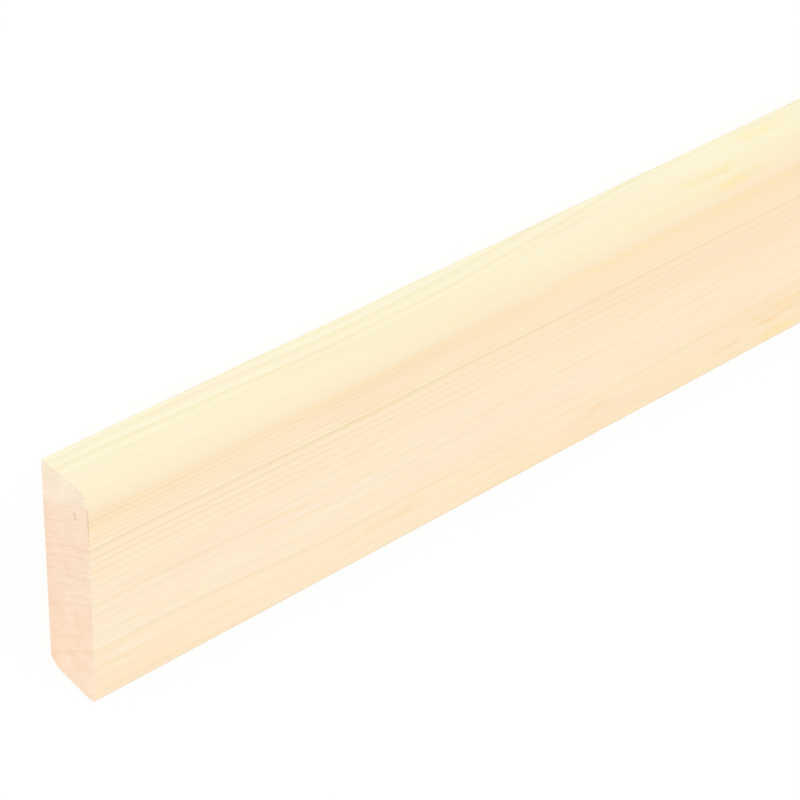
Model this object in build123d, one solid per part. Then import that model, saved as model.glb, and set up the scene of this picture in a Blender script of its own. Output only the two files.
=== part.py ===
from build123d import *
import os

# Planed batten: one length of softwood, planed on all four sides and cross-cut square at both ends.
# It lies on its back face. X runs along the length, Y across the width, Z through the thickness.
# The show face looks up, the rounded long edge is at +Y and the plain long edge at -Y.

# Driving dimensions in millimetres
length = 1000.0
width = 43.0
thickness = 12.0
# quarter round between the show face and the rounded edge
show_round_radius = 3.0
# smaller round between the show face and the plain edge
show_arris_round = 1.2
# below that round the plain edge leans in towards the back, by this much at the back face
plain_edge_lean = 0.9
# flat chamfer between the plain edge and the back face: along the thickness and along the width
back_chamfer_run = 1.9
back_chamfer_rise = 1.3
# slight easing of the arris between the back face and the rounded edge
back_arris_ease = 0.3

# Lines that bound the section
plain_edge = -width / 2
rounded_edge = width / 2
back_face = 0.0
show_face = thickness
near_end = -length / 2

# Corners of the leaning plain edge, as (y, z)
lean_start = show_face - show_arris_round
chamfer_top = back_face + back_chamfer_run
lean_at_chamfer = plain_edge_lean * (lean_start - chamfer_top) / (lean_start - back_face)
plain_at_chamfer = (plain_edge + lean_at_chamfer, chamfer_top)
back_at_chamfer = (plain_edge + plain_edge_lean + back_chamfer_rise, back_face)

# The section is drawn in the YZ plane at the near end, once round from the back face, and drawn out along X
with BuildPart() as planed_batten:
    with BuildSketch(Plane.YZ.offset(near_end)):
        with BuildLine():
            back = Line(back_at_chamfer, (rounded_edge - back_arris_ease, back_face))
            back_ease = TangentArc(back @ 1, (rounded_edge, back_face + back_arris_ease), tangent=back % 1)
            rounded = Line(back_ease @ 1, (rounded_edge, show_face - show_round_radius))
            show_round = TangentArc(
                rounded @ 1, (rounded_edge - show_round_radius, show_face), tangent=rounded % 1
            )
            show = Line(show_round @ 1, (plain_edge + show_arris_round, show_face))
            show_arris = TangentArc(show @ 1, (plain_edge, lean_start), tangent=show % 1)
            plain = Line(show_arris @ 1, plain_at_chamfer)
            Line(plain @ 1, back @ 0)
        make_face()
    extrude(amount=length)

os.makedirs("parts", exist_ok=True)
export_step(planed_batten.part, "parts/planed_batten.step")
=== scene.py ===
import math

import bpy
import numpy as np
from mathutils import Euler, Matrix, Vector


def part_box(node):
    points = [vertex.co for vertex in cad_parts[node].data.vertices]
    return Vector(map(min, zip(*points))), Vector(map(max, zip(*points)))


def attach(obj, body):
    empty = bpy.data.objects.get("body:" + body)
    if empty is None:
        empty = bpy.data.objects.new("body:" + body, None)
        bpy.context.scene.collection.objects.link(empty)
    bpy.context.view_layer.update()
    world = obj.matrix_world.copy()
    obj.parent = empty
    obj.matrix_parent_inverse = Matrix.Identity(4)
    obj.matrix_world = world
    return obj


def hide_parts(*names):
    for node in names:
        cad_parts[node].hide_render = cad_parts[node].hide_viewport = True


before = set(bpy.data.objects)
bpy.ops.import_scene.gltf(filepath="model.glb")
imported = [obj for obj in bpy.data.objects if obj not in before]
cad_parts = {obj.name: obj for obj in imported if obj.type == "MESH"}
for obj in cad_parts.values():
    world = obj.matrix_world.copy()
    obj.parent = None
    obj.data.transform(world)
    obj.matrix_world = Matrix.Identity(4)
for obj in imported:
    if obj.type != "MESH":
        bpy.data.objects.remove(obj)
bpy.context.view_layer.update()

# The batten: one length of pale pine, sawn from the outer part of a log, planed on all four long sides
# and cross-cut square at both ends. A cutter rounded one long edge over to the show face and chamfered
# the other at the back. It is loose stock, so nothing is fixed to it.

# Sizes of the section and length, in metres
low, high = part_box("planed_batten")
near_end, far_end = low.x, high.x
plain_edge, rounded_edge = low.y, high.y
back_face, show_face = low.z, high.z
length = far_end - near_end
show_round = 0.003
show_arris_round = 0.0012
plain_edge_lean = 0.0009
back_chamfer_run = 0.0019
back_chamfer_rise = 0.0013
back_ease = 0.0003


def quarter_round(radius, into):
    """How far a quarter round of this radius falls back, into being the way past its start."""
    return radius - np.sqrt(radius**2 - np.clip(into, 0, radius) ** 2)


def plain_side(z):
    """Where the plain edge lies at height z: it leans in below its small round, down to the chamfer."""
    lean_start = show_face - show_arris_round
    leaning = plain_edge_lean * np.clip((lean_start - z) / (lean_start - back_face), 0, 1)
    chamfer = back_chamfer_rise * np.clip(1 - (z - back_face) / back_chamfer_run, 0, 1)
    return plain_edge + leaning + chamfer + quarter_round(show_arris_round, z - lean_start)


def rounded_side(z):
    """Where the rounded edge lies at height z, under its quarter round and above the eased arris."""
    eased = quarter_round(back_ease, back_face + back_ease - z)
    return rounded_edge - eased - quarter_round(show_round, z - (show_face - show_round))


# Stations up the thickness, closer together round the corners, across the width and along the length
round_steps = 12
ease_steps = 3
edge_step = 0.0005
face_steps = 96
length_strips = 3
strip_steps = 84
length_steps = strip_steps * length_strips
turn = np.linspace(0, math.pi / 2, round_steps + 1)
eased_top = back_face + back_ease
chamfer_top = back_face + back_chamfer_run
round_start = show_face - show_round
up = np.concatenate([
    back_face + back_ease * (1 - np.cos(turn[:: round_steps // ease_steps])),
    np.linspace(eased_top, chamfer_top, round(back_chamfer_run / edge_step) + 1)[1:],
    np.linspace(chamfer_top, round_start, round((round_start - chamfer_top) / edge_step) + 1)[1:],
    round_start + show_round * np.sin(turn[1:]),
])
share = np.linspace(0, 1, face_steps + 1)
along = np.linspace(near_end, far_end, length_steps + 1)

# Grid of section points, [step across, station up], and the loop round its border
section_y = plain_side(up) + share[:, None] * (rounded_side(up) - plain_side(up))
section_z = np.repeat(up[None, :], len(share), axis=0)
last, top = face_steps, len(up) - 1
border = [(i, 0) for i in range(last)]
border += [(last, k) for k in range(top)]
border += [(i, top) for i in range(last, 0, -1)]
border += [(0, k) for k in range(top, 0, -1)]
border_y = np.array([section_y[p] for p in border])
border_z = np.array([section_z[p] for p in border])
round_count = len(border)

# How the log grew, in millimetres: its heart lay over the show face and out past the plain edge
mm_in_metre = 1000.0
heart_y, heart_z = -64.0, 42.15
# radius of each ring's dark line, wide rings near the heart and narrow ones outside
ring_radii = (
    51.6, 54.1, 56.5, 58.6, 61.9, 64.5, 66.7, 68.3, 70.2, 71.6, 73.6, 75.1, 76.3, 77.6, 78.8, 80.6, 81.7,
    82.6, 83.3, 84.0, 84.9, 85.9, 87.0, 88.0, 89.0, 90.0, 91.1, 92.1, 93.1, 93.8, 94.85, 95.7, 96.5,
)
# the grain swells where branches grew: middle and half length of the swell from the near end, and how
# far it pushes the rings at an inner and an outer radius
grain_swells = (
    (52.0, 22.0, (62.0, 77.0), (1.2, 0.25)),
    (70.0, 35.0, (57.0, 62.0), (-1.0, 0.0)),
    (95.0, 60.0, (62.0, 77.0), (2.2, 0.45)),
    (62.0, 25.0, (88.0, 92.0), (0.0, 0.2)),
    (146.0, 42.0, (88.0, 92.0), (0.0, -2.1)),
    (172.0, 22.0, (55.0, 68.0), (-2.0, 0.0)),
    (340.0, 70.0, (60.0, 82.0), (1.6, 0.4)),
    (470.0, 60.0, (58.0, 75.0), (-1.4, 0.0)),
    (640.0, 90.0, (60.0, 90.0), (2.0, 0.6)),
    (860.0, 80.0, (60.0, 85.0), (-1.5, -0.3)),
)
# earlywood darkens slowly up to the line and pales again in the last part of the ring
line_radii = (55.0, 86.0)
line_powers = (4.5, 1.7)
line_at = 0.85
# latewood stands this much prouder than the earlywood once planed, in metres
grain_relief = 0.00002


def latewood_at(x, y, z):
    """How far each point lies into its ring's dark line, 0 to 1."""
    on = (x - near_end) * mm_in_metre
    straight = np.hypot(y * mm_in_metre - heart_y, z * mm_in_metre - heart_z)
    radius = straight
    for middle, half_long, radii, pushes in grain_swells:
        swell = np.exp(-(((on - middle) / half_long) ** 2))
        radius = radius + swell * np.interp(straight, radii, pushes)
    phase = (np.interp(radius, ring_radii, range(len(ring_radii))) + line_at) % 1
    fall = np.clip((1 - phase) / (1 - line_at), 0, 1)
    return phase ** np.interp(radius, line_radii, line_powers) * fall


# Vertices: one loop for each station along the length, then the inner points of both end faces
after = np.roll(np.arange(round_count), -1)
before = np.roll(np.arange(round_count), 1)
run_y = border_y[after] - border_y[before]
run_z = border_z[after] - border_z[before]
run = np.hypot(run_y, run_z)
loop_x = np.repeat(along, round_count)
loop_y = np.tile(border_y, len(along))
loop_z = np.tile(border_z, len(along))
sunk = grain_relief * (1 - latewood_at(loop_x, loop_y, loop_z))
loop_y = loop_y - sunk * np.tile(run_z / run, len(along))
loop_z = loop_z + sunk * np.tile(run_y / run, len(along))
loop_points = np.stack([loop_x, loop_y, loop_z], axis=1)
inner = [(i, k) for i in range(1, last) for k in range(1, top)]
inner_y = np.array([section_y[p] for p in inner])
inner_z = np.array([section_z[p] for p in inner])
end_points = [np.stack([np.full(len(inner), x), inner_y, inner_z], axis=1) for x in (near_end, far_end)]
points = np.concatenate([loop_points, *end_points])

# Faces: the long sides between neighbouring loops, then the two end grids
stops = np.arange(round_count)
starts = np.arange(length_steps)[:, None] * round_count
side_faces = np.stack([
    starts + stops,
    starts + after,
    starts + round_count + after,
    starts + round_count + stops,
], axis=2).reshape(-1, 4)
cells = [(i, k) for i in range(last) for k in range(top)]


def end_faces(loop_start, inner_start, turns):
    """Quads that fill one end, from its loop's first vertex and its first inner vertex."""
    place = {p: loop_start + n for n, p in enumerate(border)}
    place |= {p: inner_start + n for n, p in enumerate(inner)}
    return np.array([[place[i + di, k + dk] for di, dk in turns] for i, k in cells])


near_turns = ((0, 0), (0, 1), (1, 1), (1, 0))
far_turns = ((0, 0), (1, 0), (1, 1), (0, 1))
near_faces = end_faces(0, len(loop_points), near_turns)
far_faces = end_faces(length_steps * round_count, len(loop_points) + len(inner), far_turns)
faces = np.concatenate([side_faces, near_faces, far_faces])
batten_mesh = bpy.data.meshes.new("batten")
batten_mesh.from_pydata(points.tolist(), [], faces.tolist())
batten = bpy.data.objects.new("batten", batten_mesh)
bpy.context.scene.collection.objects.link(batten)
end_slot = np.zeros(len(faces), np.int32)
end_slot[len(side_faces):] = 1
batten_mesh.polygons.foreach_set("material_index", end_slot)
batten_mesh.polygons.foreach_set("use_smooth", np.ones(len(faces), bool))
arris_angle = math.radians(30)
batten_mesh.set_sharp_from_angle(angle=arris_angle)

# Flat layout for the texture: the sides as strips of equal length one above another, then the ends
margin = 0.008
layout_scale = (1 - 2 * margin) / (length / length_strips)
girth = np.concatenate([[0], np.cumsum(np.hypot(border_y[after] - border_y, border_z[after] - border_z))])
strip = np.arange(length_steps) // strip_steps
strip_start = near_end + strip * length / length_strips
strip_row = margin + strip * (girth[-1] * layout_scale + margin)


def strip_corner(station, stop):
    """Layout place of the corner of every side face at a station along and a stop round the girth."""
    over = margin + (along[station] - strip_start) * layout_scale
    row = strip_row[:, None] + girth[stop] * layout_scale
    return np.stack([np.broadcast_to(over[:, None], row.shape), row], axis=2)


here = np.arange(length_steps)
side_layout = np.stack([
    strip_corner(here, stops),
    strip_corner(here, stops + 1),
    strip_corner(here + 1, stops + 1),
    strip_corner(here + 1, stops),
], axis=2).reshape(-1, 2)
end_row = margin + length_strips * (girth[-1] * layout_scale + margin)


def end_layout(over, turns):
    """Layout places of one end's corners, from its left side over."""
    y = np.array([section_y[i + di, k + dk] for i, k in cells for di, dk in turns])
    z = np.array([section_z[i + di, k + dk] for i, k in cells for di, dk in turns])
    left = margin + over + (y - plain_edge) * layout_scale
    return np.stack([left, end_row + (z - back_face) * layout_scale], axis=1)


end_stride = (rounded_edge - plain_edge) * layout_scale + 2 * margin
layout = batten_mesh.uv_layers.new(name="OFBake")
corners = np.concatenate([side_layout, end_layout(0, near_turns), end_layout(end_stride, far_turns)])
layout.uv.foreach_set("vector", corners.astype(np.float32).ravel())


def paint(red, green, blue):
    """A colour as seen on screen, 0 to 255, as Blender's linear colour."""
    parts = [c / 255 for c in (red, green, blue)]
    return [c / 12.92 if c <= 0.04045 else ((c + 0.055) / 1.055) ** 2.4 for c in parts] + [1.0]


def put(tree, kind, inputs=None, **settings):
    """A new node in tree with its settings, and its inputs linked or set by name or number."""
    node = tree.nodes.new(kind)
    for name, value in settings.items():
        setattr(node, name, value)
    for socket, value in (inputs or {}).items():
        if isinstance(value, bpy.types.NodeSocket):
            tree.links.new(value, node.inputs[socket])
        else:
            node.inputs[socket].default_value = value
    return node


def reckon(tree, operation, *terms):
    """The result of a Math node on up to three terms."""
    return put(tree, "ShaderNodeMath", dict(enumerate(terms)), operation=operation).outputs[0]


def spread(tree, value, ins, outs=(0.0, 1.0), smooth=False):
    """Value moved from the range ins to the range outs and held at its ends."""
    kind = "SMOOTHSTEP" if smooth else "LINEAR"
    limits = {"Value": value, "From Min": ins[0], "From Max": ins[1], "To Min": outs[0], "To Max": outs[1]}
    return put(tree, "ShaderNodeMapRange", limits, interpolation_type=kind).outputs["Result"]


def noise(tree, place, sizes, seed, detail=2.0):
    """Noise, mostly 0.3 to 0.7, with grains of these sizes in millimetres along each axis of place."""
    shrink = [1 / size for size in sizes]
    moved = put(tree, "ShaderNodeVectorMath", {0: place, 1: shrink}, operation="MULTIPLY")
    settings = {"Vector": moved.outputs[0], "W": seed, "Scale": 1.0, "Detail": detail}
    return put(tree, "ShaderNodeTexNoise", settings, noise_dimensions="4D").outputs["Fac"]


# Growth rings as a node group, the same rings as in the mesh, for both cuts of the wood. Grain is the
# place unrolled: along the length, out from the heart and round it.
growth_rings = bpy.data.node_groups.new("growth rings", "ShaderNodeTree")
growth_rings.interface.new_socket("Place", in_out="INPUT", socket_type="NodeSocketVector")
growth_rings.interface.new_socket("Grain", in_out="OUTPUT", socket_type="NodeSocketVector")
for name in ("Along", "Depth", "Latewood", "Ring Tone"):
    growth_rings.interface.new_socket(name, in_out="OUTPUT", socket_type="NodeSocketFloat")
tree = growth_rings
place = tree.nodes.new("NodeGroupInput").outputs["Place"]
apart = put(tree, "ShaderNodeSeparateXYZ", {0: place})
on = reckon(tree, "SUBTRACT", apart.outputs["X"], near_end * mm_in_metre)
off_y = reckon(tree, "SUBTRACT", apart.outputs["Y"], heart_y)
off_z = reckon(tree, "SUBTRACT", apart.outputs["Z"], heart_z)
square = reckon(tree, "MULTIPLY_ADD", off_y, off_y, reckon(tree, "MULTIPLY", off_z, off_z))
straight = reckon(tree, "SQRT", square)
# small unevenness of the rings, in millimetres over the noise's whole range, then the swells
unevenness = 0.6
uneven = reckon(tree, "SUBTRACT", noise(tree, place, (25.0, 4.0, 4.0), seed=3.0), 0.5)
radius = reckon(tree, "MULTIPLY_ADD", uneven, unevenness, straight)
for middle, half_long, radii, pushes in grain_swells:
    off = reckon(tree, "DIVIDE", reckon(tree, "SUBTRACT", on, middle), half_long)
    swell = reckon(tree, "EXPONENT", reckon(tree, "MULTIPLY", reckon(tree, "MULTIPLY", off, off), -1.0))
    radius = reckon(tree, "MULTIPLY_ADD", swell, spread(tree, straight, radii, pushes), radius)
inside, outside = ring_radii[0], ring_radii[-1]
ring_steps = len(ring_radii) - 1
counter = put(tree, "ShaderNodeFloatCurve", {"Value": spread(tree, radius, (inside, outside))})
count_curve = counter.mapping.curves[0]
for n in range(1, ring_steps):
    count_curve.points.new((ring_radii[n] - inside) / (outside - inside), n / ring_steps)
for point in count_curve.points:
    point.handle_type = "VECTOR"
counter.mapping.update()
count = reckon(tree, "MULTIPLY_ADD", counter.outputs["Value"], ring_steps, line_at)
phase = reckon(tree, "FRACT", count)
late = reckon(tree, "POWER", phase, spread(tree, radius, line_radii, line_powers))
late = reckon(tree, "MULTIPLY", late, spread(tree, phase, (line_at, 1.0), (1.0, 0.0)))
# the seed puts the strong rings where the photo has them, and the faintest keep this share of their tone
ring_seed = 1203.1865
faintest_tone = 0.35
ring = reckon(tree, "ADD", reckon(tree, "FLOOR", count), ring_seed)
chance = put(tree, "ShaderNodeTexWhiteNoise", {"W": ring}, noise_dimensions="1D").outputs["Value"]
tone = spread(tree, reckon(tree, "MULTIPLY", chance, chance), (0.0, 1.0), (faintest_tone, 1.0))
turned = reckon(tree, "MULTIPLY", reckon(tree, "ARCTAN2", off_z, off_y), straight)
grain = put(tree, "ShaderNodeCombineXYZ", {"X": on, "Y": radius, "Z": turned}).outputs[0]
leave = tree.nodes.new("NodeGroupOutput")
tree.links.new(grain, leave.inputs["Grain"])
tree.links.new(on, leave.inputs["Along"])
tree.links.new(straight, leave.inputs["Depth"])
tree.links.new(late, leave.inputs["Latewood"])
tree.links.new(tone, leave.inputs["Ring Tone"])


def depth_colours(tree, depth, stops):
    """Colours that change from the heart side to the bark side, given as (radius, colour)."""
    ramp = put(tree, "ShaderNodeValToRGB", {0: spread(tree, depth, (inside, outside))})
    elements = ramp.color_ramp.elements
    while len(elements) < len(stops):
        elements.new(1.0)
    for element, (r, colour) in zip(elements, stops):
        element.position = (r - inside) / (outside - inside)
        element.color = paint(*colour)
    return ramp.outputs["Color"]


def stain(tree, colour, amount, white_stained):
    """Colour stained by amount, the stain given as the colour it would turn white."""
    sockets = {"Factor": amount, 6: colour, 7: paint(*white_stained)}
    return put(tree, "ShaderNodeMix", sockets, data_type="RGBA", blend_type="MULTIPLY").outputs[2]


def fade(tree, amount, mask, left):
    """Amount brought down to the share left where mask is 1."""
    return reckon(tree, "MULTIPLY", amount, spread(tree, mask, (0.0, 1.0), (1.0, left)))


# A small mark in the wood as a node group, for both cuts: a mask that is 1 in its solid core and 0 past
# its half sizes, in millimetres, with its edge broken by Ragged
solid_core = 0.2
small_mark = bpy.data.node_groups.new("small mark", "ShaderNodeTree")
for name in ("Place", "Middle", "Half Sizes"):
    small_mark.interface.new_socket(name, in_out="INPUT", socket_type="NodeSocketVector")
small_mark.interface.new_socket("Ragged", in_out="INPUT", socket_type="NodeSocketFloat")
small_mark.interface.new_socket("Mark", in_out="OUTPUT", socket_type="NodeSocketFloat")
tree = small_mark
given = tree.nodes.new("NodeGroupInput").outputs
off = put(tree, "ShaderNodeVectorMath", {0: given["Place"], 1: given["Middle"]}, operation="SUBTRACT")
scaled = put(tree, "ShaderNodeVectorMath", {0: off.outputs[0], 1: given["Half Sizes"]}, operation="DIVIDE")
far = put(tree, "ShaderNodeVectorMath", {0: scaled.outputs[0]}, operation="LENGTH").outputs["Value"]
edge = reckon(tree, "ADD", far, given["Ragged"])
mark = spread(tree, edge, (solid_core, 1.0), (1.0, 0.0), smooth=True)
tree.links.new(mark, tree.nodes.new("NodeGroupOutput").inputs["Mark"])


def stain_mark(tree, colour, white_stained, place, middle, half_sizes, ragged):
    """Colour stained by one small mark, its middle and half sizes in millimetres."""
    sockets = {"Place": place, "Middle": middle, "Half Sizes": half_sizes, "Ragged": ragged}
    mark = put(tree, "ShaderNodeGroup", sockets, node_tree=small_mark).outputs["Mark"]
    return stain(tree, colour, mark, white_stained)


def wood_start(name):
    """A wood material with its node tree, place in millimetres, rings and shader."""
    material = bpy.data.materials.new(name)
    material.use_nodes = True
    tree = material.node_tree
    shader = tree.nodes["Principled BSDF"]
    at = tree.nodes.new("ShaderNodeTexCoord").outputs["Object"]
    place = put(tree, "ShaderNodeVectorMath", {0: at, "Scale": mm_in_metre}, operation="SCALE").outputs[0]
    rings = put(tree, "ShaderNodeGroup", {"Place": place}, node_tree=growth_rings).outputs
    return material, tree, place, rings, shader


# Planed long grain on the faces and long edges: warm heart side, pale yellow towards the bark. Colours
# are as seen on screen, a stain's being what it would turn white.
long_grain, tree, place, rings, shader = wood_start("planed long grain")
grain, depth = rings["Grain"], rings["Depth"]
colour = depth_colours(tree, depth, (
    (53.3, (252, 232, 200)),
    (65.3, (252, 235, 210)),
    (83.0, (252, 232, 201)),
    # painted shade: the stops from 84.8 to 87.7 lay a narrow line, warmer and deeper, along the show face
    # where it turns into the rounding
    (84.8, (252, 231, 198)),
    (85.9, (252, 230, 192)),
    (87.7, (249, 233, 202)),
    (90.3, (245, 232, 198)),
    (93.0, (248, 241, 212)),
    (94.8, (249, 243, 218)),
))
# the wood turns warmer and back again along the length, less so towards the bark
warm_wave = 420.0
warm_tint = (255, 253, 246)
bark_side = spread(tree, depth, (87.0, 87.8))
wave = reckon(tree, "COSINE", reckon(tree, "MULTIPLY", rings["Along"], 2 * math.pi / warm_wave))
warm = spread(tree, wave, (1.0, -1.0))
warm_here = fade(tree, warm, bark_side, 0.3)
colour = stain(tree, colour, warm_here, warm_tint)
# soft pink patches, yellow streaks and the fine fibres
pink, streak_yellow, fibre_shade = (255, 251, 252), (255, 254, 244), (253, 249, 245)
patches = noise(tree, grain, (40.0, 7.0, 7.0), seed=31.0, detail=1.0)
colour = stain(tree, colour, spread(tree, patches, (0.45, 0.7)), pink)
yellowing = noise(tree, grain, (22.0, 1.2, 1.2), seed=17.0)
colour = stain(tree, colour, fade(tree, spread(tree, yellowing, (0.5, 0.72)), bark_side, 0.4), streak_yellow)
fibres = noise(tree, grain, (9.0, 0.25, 0.25), seed=23.0)
colour = stain(tree, colour, fade(tree, spread(tree, fibres, (0.4, 0.75)), bark_side, 0.5), fibre_shade)
# dark lines of the rings, paler in the warm stretch, where narrow rings hardly show; the sapwood under
# the rounding is clear of them
streaks = noise(tree, grain, (30.0, 1.5, 1.5), seed=11.0)
strength = reckon(tree, "MULTIPLY", rings["Ring Tone"], spread(tree, streaks, (0.3, 0.65), (0.7, 1.0)))
strength = fade(tree, strength, warm_here, 0.45)
narrow = fade(tree, spread(tree, depth, (80.9, 81.5)), bark_side, 0.0)
hidden = reckon(tree, "MULTIPLY", narrow, spread(tree, warm, (0.02, 0.5), (0.0, 0.85)))
strength = fade(tree, strength, hidden, 0.0)
ring_radius = put(tree, "ShaderNodeSeparateXYZ", {0: grain}).outputs["Y"]
clear_from = spread(tree, depth, (86.2, 87.0), (1.0, 0.08))
clear_to = spread(tree, ring_radius, (92.2, 92.6), (0.0, 0.85))
strength = reckon(tree, "MULTIPLY", strength, reckon(tree, "ADD", clear_from, clear_to))
line = reckon(tree, "MULTIPLY", rings["Latewood"], strength)
# the close lines below the rounding are grey brown, the others more orange
grey_brown, orange = (235, 229, 210), (242, 233, 197)
close_from = spread(tree, depth, (74.0, 77.0))
close_to = spread(tree, depth, (87.0, 90.0), (1.0, 0.0))
close = reckon(tree, "MULTIPLY", close_from, close_to)
colour = stain(tree, colour, reckon(tree, "MULTIPLY", line, close), grey_brown)
colour = stain(tree, colour, fade(tree, line, close, 0.0), orange)
# resin flecks near the plain edge and yellow ones in the rounding: middle along and across from the near
# end and the plain edge, height, half length and half width, in millimetres
resin, pale_resin, yellow = (254, 246, 234), (254, 249, 240), (255, 252, 234)
resin_flecks = (
    (63.5, 6.7, 12.0, 9.0, 1.2, resin),
    (112.0, 6.8, 12.0, 7.0, 1.0, resin),
    (146.0, 4.5, 12.0, 8.0, 0.9, resin),
    (157.0, 6.2, 12.0, 9.0, 1.6, resin),
    (166.0, 8.0, 12.0, 20.0, 4.0, pale_resin),
    (160.0, 2.6, 12.0, 9.0, 2.0, yellow),
    (141.0, 43.0, 8.1, 16.0, 1.6, yellow),
    (142.0, 42.1, 11.2, 14.0, 1.3, yellow),
    (158.0, 43.0, 3.2, 11.0, 2.0, yellow),
)
near_mm, plain_mm, back_mm, show_mm = (p * mm_in_metre for p in (near_end, plain_edge, back_face, show_face))
ragged = spread(tree, noise(tree, place, (5.0, 0.8, 0.8), seed=41.0), (0.3, 0.7), (-0.3, 0.5))
for fleck_on, fleck_across, fleck_up, half_long, half_wide, fleck_stain in resin_flecks:
    middle = (near_mm + fleck_on, plain_mm + fleck_across, back_mm + fleck_up)
    half_sizes = (half_long, half_wide, half_wide)
    colour = stain_mark(tree, colour, fleck_stain, place, middle, half_sizes, ragged)
# painted shade: the small round along the show face is darkened a little grey where it turns away from the
# light, out to these places
arris_shade_grey = (247, 249, 252)
arris_shade_across = (plain_mm + 0.5, plain_mm + 1.2)
arris_shade_up = (show_mm - 1.8, show_mm - 0.9)
corner = put(tree, "ShaderNodeSeparateXYZ", {0: place}).outputs
at_edge = spread(tree, corner["Y"], arris_shade_across, (1.0, 0.0))
at_show_face = spread(tree, corner["Z"], arris_shade_up)
colour = stain(tree, colour, reckon(tree, "MULTIPLY", at_edge, at_show_face), arris_shade_grey)
# the dark lines are harder and take a little more polish from the plane; the fibres stand up slightly
plain_rough, line_rough = 0.62, 0.5
fibre_height = 0.00003
tree.links.new(colour, shader.inputs["Base Color"])
tree.links.new(spread(tree, line, (0.0, 1.0), (plain_rough, line_rough)), shader.inputs["Roughness"])
shader.inputs["Specular IOR Level"].default_value = 0.3
bump = put(tree, "ShaderNodeBump", {"Height": fibres, "Strength": 0.3, "Distance": fibre_height})
tree.links.new(bump.outputs[0], shader.inputs["Normal"])

# Sawn end grain on the two cross-cut ends: pinker, mottled by bundles of fibres along the rings
end_grain, tree, place, rings, shader = wood_start("sawn end grain")
grain, depth = rings["Grain"], rings["Depth"]
colour = depth_colours(tree, depth, (
    (54.0, (254, 231, 209)),
    (61.0, (254, 228, 204)),
    (66.0, (253, 227, 203)),
    (72.0, (252, 229, 208)),
    (85.0, (252, 228, 206)),
    (87.0, (251, 229, 207)),
    (89.3, (251, 237, 217)),
    (94.4, (251, 239, 219)),
))
bundle_shade, patch_shade, pore_shade = (252, 249, 246), (252, 250, 246), (248, 243, 238)
bundles = noise(tree, grain, (1.0, 0.5, 2.2), seed=7.0)
colour = stain(tree, colour, spread(tree, bundles, (0.4, 0.7)), bundle_shade)
patches = noise(tree, place, (3.0, 4.0, 4.0), seed=13.0, detail=1.0)
colour = stain(tree, colour, spread(tree, patches, (0.4, 0.65)), patch_shade)
pores = noise(tree, place, (0.2, 0.3, 0.3), seed=5.0, detail=1.0)
colour = stain(tree, colour, spread(tree, pores, (0.5, 0.75)), pore_shade)
# ring lines, broken here and there and fainter in the sapwood
line_shade = (245, 231, 221)
broken = noise(tree, grain, (1.0, 2.0, 3.0), seed=19.0)
strength = reckon(tree, "MULTIPLY", rings["Ring Tone"], spread(tree, broken, (0.4, 0.6), (0.4, 1.0)))
strength = fade(tree, strength, spread(tree, depth, (86.5, 88.5)), 0.35)
line = reckon(tree, "MULTIPLY", rings["Latewood"], strength)
colour = stain(tree, colour, line, line_shade)
# two dark specks high on the near end, and a dark line along the arris beside them, painted shade of a torn,
# chipped arris: middle up the width and over the thickness, half height and half width, and the stain (for
# the line, its painted shade). None goes in deeper than mark_depth.
mark_depth = 2.0
end_marks = (
    (37.1, 8.4, 0.5, 0.55, (230, 216, 201)),
    (36.4, 8.5, 0.4, 0.45, (240, 230, 219)),
    # the dark line along the arris: torn fibres there, darkened as painted shade of the chipped edge
    (37.0, 11.95, 4.5, 0.25, (226, 214, 200)),
)
ragged = reckon(tree, "SUBTRACT", pores, 0.5)
for mark_up, mark_over, half_high, half_wide, stain_and_shade in end_marks:
    middle = (near_mm, plain_mm + mark_up, back_mm + mark_over)
    half_sizes = (mark_depth, half_high, half_wide)
    colour = stain_mark(tree, colour, stain_and_shade, place, middle, half_sizes, ragged)
# the saw leaves the ends rough, with open pores
pore_depth = 0.00004
tree.links.new(colour, shader.inputs["Base Color"])
shader.inputs["Roughness"].default_value = 0.8
shader.inputs["Specular IOR Level"].default_value = 0.2
bump = put(tree, "ShaderNodeBump", {"Height": pores, "Strength": 0.3, "Distance": pore_depth})
tree.links.new(bump.outputs[0], shader.inputs["Normal"])

batten_mesh.materials.append(long_grain)
batten_mesh.materials.append(end_grain)
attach(batten, "root")
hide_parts("planed_batten")

# The floor: a wide pale sheet under the batten. The camera sees it near white, with the batten's shadow
# left on it. From below it is clear, and so it is right under the batten, to let light reach its back.
floor_side = 14.0
floor_gap = 0.00005
under_batten = 4 * floor_gap
floor_pale = (0.92, 0.92, 0.92, 1.0)
glow_white = (1.0, 1.0, 1.0, 1.0)
glow_strength = 1.03
seen_glow = 0.78
half = floor_side / 2
sheet_corners = ((-half, -half), (half, -half), (half, half), (-half, half))
floor_mesh = bpy.data.meshes.new("floor")
floor_mesh.from_pydata([(x, y, -floor_gap) for x, y in sheet_corners], [], [(0, 1, 2, 3)])
floor = bpy.data.objects.new("floor", floor_mesh)
bpy.context.scene.collection.objects.link(floor)


def seen_rays(tree):
    """1 for rays that show the background, straight, in a gloss or through glass, and 0 for the others."""
    rays = tree.nodes.new("ShaderNodeLightPath").outputs
    straight_or_gloss = reckon(tree, "MAXIMUM", rays["Is Camera Ray"], rays["Is Glossy Ray"])
    return reckon(tree, "MAXIMUM", straight_or_gloss, rays["Is Transmission Ray"])


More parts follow.
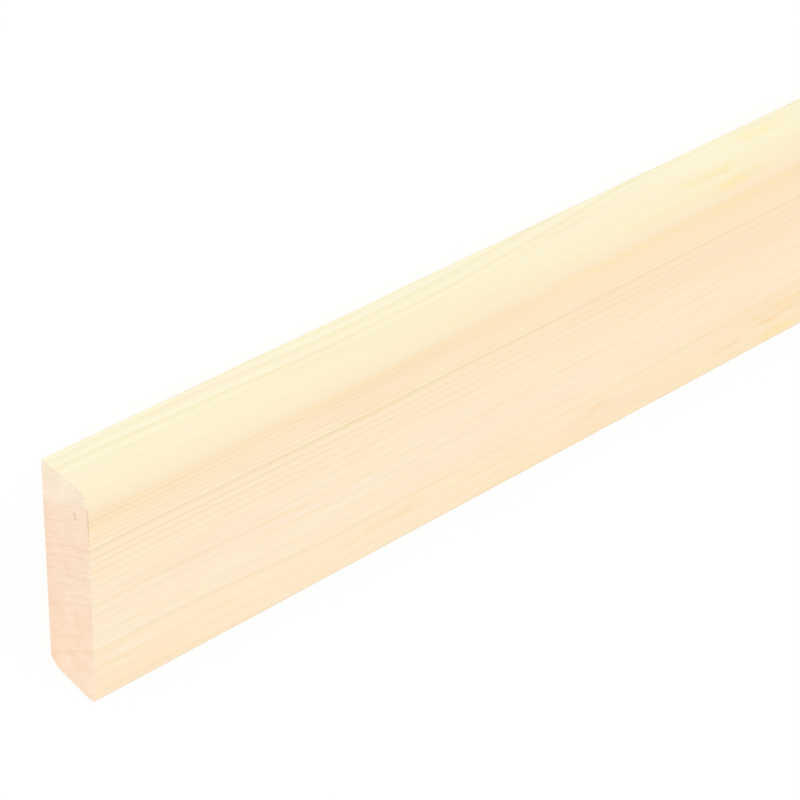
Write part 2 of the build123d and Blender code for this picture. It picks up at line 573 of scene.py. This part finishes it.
floor_white = bpy.data.materials.new("floor white")
floor_white.use_nodes = True
tree = floor_white.node_tree
tree.nodes.remove(tree.nodes["Principled BSDF"])
matt = put(tree, "ShaderNodeBsdfDiffuse", {"Color": floor_pale})
glow = put(tree, "ShaderNodeEmission", {"Color": glow_white, "Strength": glow_strength})
glow_share = reckon(tree, "MULTIPLY", seen_rays(tree), seen_glow)
mixed = put(tree, "ShaderNodeMixShader", {0: glow_share, 1: matt.outputs[0], 2: glow.outputs[0]})
clear = tree.nodes.new("ShaderNodeBsdfTransparent")
facing = tree.nodes.new("ShaderNodeNewGeometry")
ray_length = tree.nodes.new("ShaderNodeLightPath").outputs["Ray Length"]
close_under = reckon(tree, "LESS_THAN", ray_length, under_batten)
clear_share = reckon(tree, "MAXIMUM", facing.outputs["Backfacing"], close_under)
sheet = put(tree, "ShaderNodeMixShader", {0: clear_share, 1: mixed.outputs[0], 2: clear.outputs[0]})
tree.links.new(sheet.outputs[0], tree.nodes["Material Output"].inputs["Surface"])
floor_mesh.materials.append(floor_white)

# The light: a white tent of cloth all round the batten, and a broad soft lamp that stands off over the
# near end and the rounded edge and is turned to the batten's middle.
tent_white = (1.0, 1.0, 1.0, 1.0)
tent_strength = 0.96
lamp_sides = (2.4, 1.6)
lamp_watts = 10.0
lamp_place = (-1.6, 1.77, 1.01)
tent = bpy.data.worlds.new("white tent")
bpy.context.scene.world = tent
tent.use_nodes = True
tree = tent.node_tree
background = tree.nodes["Background"]
background.inputs["Color"].default_value = tent_white
tent_seen = spread(tree, seen_rays(tree), (0.0, 1.0), (tent_strength, 1.0))
tree.links.new(tent_seen, background.inputs["Strength"])
lamp_data = bpy.data.lights.new("soft lamp", "AREA")
lamp_data.shape = "RECTANGLE"
lamp_data.size, lamp_data.size_y = lamp_sides
lamp_data.energy = lamp_watts
lamp = bpy.data.objects.new("soft lamp", lamp_data)
bpy.context.scene.collection.objects.link(lamp)
lamp.location = lamp_place
lamp.rotation_mode = "QUATERNION"
lamp.rotation_quaternion = (-lamp.location).to_track_quat("-Z", "Y")

# The camera: it stands off the near end and looks down over the rounded edge, turned so that the width
# stands up in the picture and the length runs away to the right. Its turns are in degrees.
camera_place = (-0.69484, 0.29749, 0.2913)
camera_turns = (-38.846, -41.258, 2.608)
camera_data = bpy.data.cameras.new("camera")
camera_data.sensor_width = 36.0
camera_data.lens = 129.52
camera_data.clip_start = 0.01
camera = bpy.data.objects.new("camera", camera_data)
bpy.context.scene.collection.objects.link(camera)
camera.location = camera_place
camera.rotation_euler = Euler([math.radians(angle) for angle in camera_turns], "XYZ")
bpy.context.scene.camera = camera

bpy.context.scene.view_settings.view_transform = "Standard"
